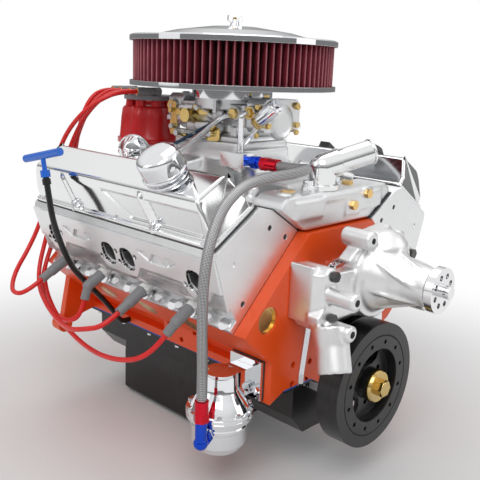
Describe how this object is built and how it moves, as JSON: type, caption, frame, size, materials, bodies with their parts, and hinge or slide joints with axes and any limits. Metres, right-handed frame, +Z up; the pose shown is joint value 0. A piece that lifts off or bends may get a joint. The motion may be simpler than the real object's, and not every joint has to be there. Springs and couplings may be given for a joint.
{
  "type": "v8 engine",
  "caption": "Complete V8 engine with round air cleaner, carburettor, distributor, water pump, damper and sump; crank, cam, hub, throttles and dipstick move.",
  "frame": {"origin": "on the crankshaft axis at the rear face of the crank flange, the mouth of crank_pilot_bore", "axes": "+Y to the rear along the crankshaft, +X to the driver's side, +Z up; the front of the engine faces -Y"},
  "size_m": [0.591, 0.7195, 0.728],
  "materials": {
    "black_paint": "gloss",
    "black_plastic": "matt",
    "black_steel": "black oxide",
    "blue_anodised": "anodised",
    "blue_gasket": "matt",
    "braided_steel": "woven",
    "brass": "plain",
    "cast_aluminium": "cast",
    "chrome": "polished",
    "filter_media": "woven",
    "gold_zinc": "plated",
    "grey_rubber": "matt",
    "orange_paint": "semi-gloss",
    "polished_aluminium": "satin",
    "red_anodised": "anodised",
    "red_plastic": "gloss",
    "red_rubber": "satin",
    "steel": "machined",
    "white_ceramic": "glazed"
  },
  "bodies": {
    "block": {"air_cleaner_base": "chrome", "air_cleaner_lid": "chrome", "air_filter_element": "filter_media", "blue_fittings": "blue_anodised", "brass_plugs": "brass", "bright_bolts": "chrome", "carburettor_body": "cast_aluminium", "carburettor_fittings": "gold_zinc", "carburettor_lines": "chrome", "cylinder_head_driver": "cast_aluminium", "cylinder_head_passenger": "cast_aluminium", "dark_bolts": "black_steel", "dipstick_tube": "black_paint", "distributor_boots": "grey_rubber", "distributor_cap": "red_plastic", "distributor_housing": "cast_aluminium", "engine_block": "orange_paint", "filler_caps": "black_plastic", "float_bowls": "cast_aluminium", "fuel_hose": "braided_steel", "fuel_log": "polished_aluminium", "fuel_pump": "chrome", "fuel_pump_gasket": "blue_gasket", "head_gaskets": "blue_gasket", "intake_gaskets": "blue_gasket", "intake_manifold": "cast_aluminium", "main_bearing_caps": "orange_paint", "oil_pan": "black_paint", "oil_pan_gasket": "blue_gasket", "oil_pump": "steel", "pistons": "cast_aluminium", "plug_wire_2": "red_rubber", "plug_wire_4": "red_rubber", "plug_wire_6": "red_rubber", "plug_wire_8": "red_rubber", "red_fittings": "red_anodised", "spark_plug_boots": "grey_rubber", "spark_plugs": "white_ceramic", "thermostat_housing": "polished_aluminium", "timing_chain": "steel", "timing_cover": "chrome", "vacuum_advance": "chrome", "valve_cover_driver": "polished_aluminium", "valve_cover_gaskets": "blue_gasket", "valve_cover_passenger": "polished_aluminium", "water_pump_housing": "cast_aluminium"},
    "crank": {"crankshaft": "steel", "harmonic_balancer": "black_paint", "crank_bolt": "gold_zinc", "crank_sprocket": "steel"},
    "cam": {"camshaft": "steel", "cam_sprocket": "steel"},
    "distributor_shaft": {"distributor_rotor": "black_plastic"},
    "pump_hub": {"water_pump_hub": "steel"},
    "primary_throttle": {"primary_throttle": "steel"},
    "secondary_throttle": {"secondary_throttle": "steel"},
    "choke": {"choke_plate": "steel"},
    "dipstick": {"dipstick": "blue_anodised"},
    "breather": {"breather_cap": "chrome"},
    "wing_nut": {"wing_nut": "chrome"}
  },
  "joints": [
    {"name": "crank_spin", "type": "hinge", "parent": "block", "child": "crank", "pos_m": [0, 0, 0], "axis": [0, 1, 0], "continuous": true},
    {"name": "cam_spin", "type": "hinge", "parent": "block", "child": "cam", "pos_m": [0, 0, 0.1148], "axis": [0, 1, 0], "continuous": true},
    {"name": "distributor_spin", "type": "hinge", "parent": "block", "child": "distributor_shaft", "pos_m": [-0.027, -0.0805, 0.3], "axis": [0, 0, 1], "continuous": true},
    {"name": "pump_spin", "type": "hinge", "parent": "block", "child": "pump_hub", "pos_m": [0, -0.6265, 0.18], "axis": [0, 1, 0], "continuous": true},
    {"name": "primary_throttle_turn", "type": "hinge", "parent": "block", "child": "primary_throttle", "pos_m": [0, -0.3, 0.373], "axis": [1, 0, 0], "range_deg": [0, 75], "stiffness_Nm_per_rad": 0.06, "springref_deg": -17.19},
    {"name": "secondary_throttle_turn", "type": "hinge", "parent": "block", "child": "secondary_throttle", "pos_m": [0, -0.245, 0.373], "axis": [1, 0, 0], "range_deg": [0, 75], "stiffness_Nm_per_rad": 0.06, "springref_deg": -17.19},
    {"name": "choke_turn", "type": "hinge", "parent": "block", "child": "choke", "pos_m": [0, -0.3, 0.419], "axis": [1, 0, 0], "range_deg": [0, 80]},
    {"name": "dipstick_pull", "type": "slide", "parent": "block", "child": "dipstick", "axis": [-0.0144, 0.2154, 0.9764], "range_m": [0, 0.3]},
    {"name": "breather_pull", "type": "slide", "parent": "block", "child": "breather", "axis": [-0.5433, 0, 0.8396], "range_m": [0, 0.04]},
    {"name": "wing_nut_turn", "type": "hinge", "parent": "block", "child": "wing_nut", "pos_m": [0, -0.2725, 0.555], "axis": [0, 0, 1], "continuous": true}
  ],
  "couplings": [
    {"joint": "cam_spin", "follows": "crank_spin", "ratio": 0.5},
    {"joint": "distributor_spin", "follows": "crank_spin", "ratio": -0.5}
  ]
}
